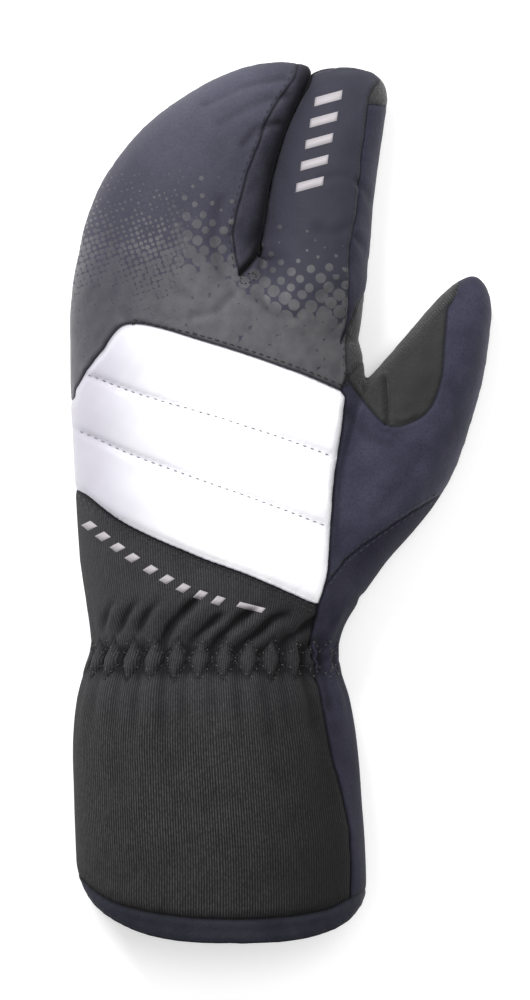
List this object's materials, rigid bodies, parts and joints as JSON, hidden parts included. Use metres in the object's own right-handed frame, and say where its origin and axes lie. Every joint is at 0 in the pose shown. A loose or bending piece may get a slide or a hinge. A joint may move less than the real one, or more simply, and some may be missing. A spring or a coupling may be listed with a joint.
{
  "type": "split-finger winter mitt",
  "caption": "Padded left-hand winter mitt split between index finger and finger pocket, lying palm down, with a ribbed gathered cuff, a white quilted band and a suede-patched thumb.",
  "frame": {"origin": "middle of the mitt seen from above, on the surface that its palm rests on", "axes": "+X towards the thumb side, +Y towards the fingertips, +Z out of the back of the hand"},
  "size_m": [0.1438, 0.3, 0.0549],
  "materials": {
    "softshell": "matte",
    "reflective": "satin",
    "ribbed": "matte",
    "navy": "matte",
    "hem": "matte",
    "leather": "matte",
    "gusset": "matte",
    "suede": "matte"
  },
  "bodies": {
    "root": {"back_panel": "softshell", "reflective_panel": "reflective", "cuff_back": "ribbed", "cuff_palm": "navy", "hem_band": "hem", "palm_panel": "leather", "split_gusset": "gusset", "index_side": "navy", "thumb_back": "navy", "thumb_patch": "suede"}
  },
  "joints": []
}
